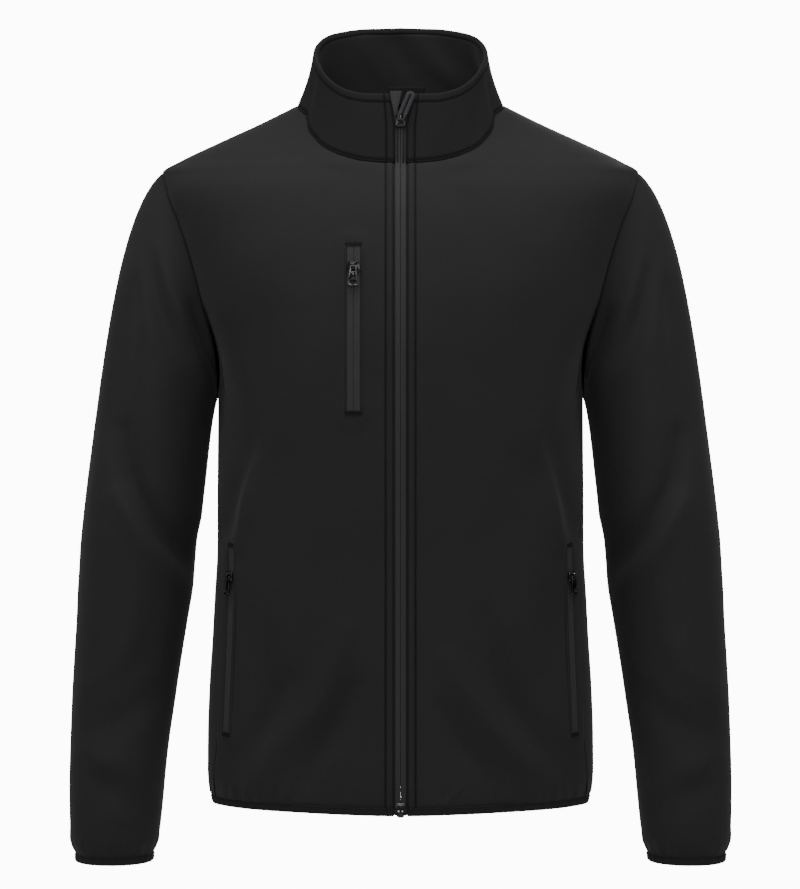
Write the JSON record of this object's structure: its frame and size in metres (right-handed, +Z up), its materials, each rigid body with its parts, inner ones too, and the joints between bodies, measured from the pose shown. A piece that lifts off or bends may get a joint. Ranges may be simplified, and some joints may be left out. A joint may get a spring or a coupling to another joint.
{
  "type": "softshell jacket",
  "caption": "Hollow worn softshell jacket with stand-up collar, full front zip, chest and hand zip pockets and elastic hem and cuffs.",
  "frame": {"origin": "midway between the two points where the shoulder seams meet the collar, where the wearer's neck holds the jacket", "axes": "+Z up along the jacket, the front faces -Y, +X is the wearer's left"},
  "size_m": [0.6332, 0.2763, 0.8101],
  "materials": {
    "shell": "matt woven softshell",
    "collar_lining": "matt brushed knit",
    "binding": "matt elastic binding",
    "zip_tape": "ribbed woven tape",
    "slider": "gloss enamel",
    "pull_cord": "ribbed cord, stiffened",
    "moulded": "moulded gloss",
    "label": "satin ribbon"
  },
  "bodies": {
    "jacket": {"front_right": "shell", "front_left": "shell", "back": "shell", "sleeve_right": "shell", "sleeve_left": "shell", "collar_outer": "shell", "collar_inner": "collar_lining", "hem_band": "binding", "cuff_band_right": "binding", "cuff_band_left": "binding", "zip_tape_right": "zip_tape", "zip_tape_left": "zip_tape", "zip_guard": "zip_tape", "chest_zip": "zip_tape", "hand_zip_right": "zip_tape", "hand_zip_left": "zip_tape", "main_slider": "slider", "chest_slider": "slider", "hand_right_slider": "slider", "hand_left_slider": "slider", "zip_box": "moulded", "neck_label": "label"},
    "main_tab": {"main_pull": "pull_cord"},
    "chest_tab": {"chest_pull": "slider"},
    "hand_right_tab": {"hand_right_pull": "slider"},
    "hand_left_tab": {"hand_left_pull": "slider"}
  },
  "joints": [
    {"name": "main_tab_turn", "type": "hinge", "parent": "jacket", "child": "main_tab", "pos_m": [0, -0.08364, -0.02522], "axis": [0.9272, -0.0677, -0.3684], "range_deg": [0, 165]},
    {"name": "chest_tab_turn", "type": "hinge", "parent": "jacket", "child": "chest_tab", "pos_m": [-0.0435, -0.136, -0.16687], "axis": [0.9976, -0.068, 0.0117], "range_deg": [-160, 0]},
    {"name": "hand_right_tab_turn", "type": "hinge", "parent": "jacket", "child": "hand_right_tab", "pos_m": [-0.16296, -0.07668, -0.45507], "axis": [0.5743, -0.8179, -0.0344], "range_deg": [-160, 0]},
    {"name": "hand_left_tab_turn", "type": "hinge", "parent": "jacket", "child": "hand_left_tab", "pos_m": [0.16296, -0.07668, -0.45507], "axis": [0.5743, 0.8179, 0.0344], "range_deg": [-160, 0]}
  ]
}
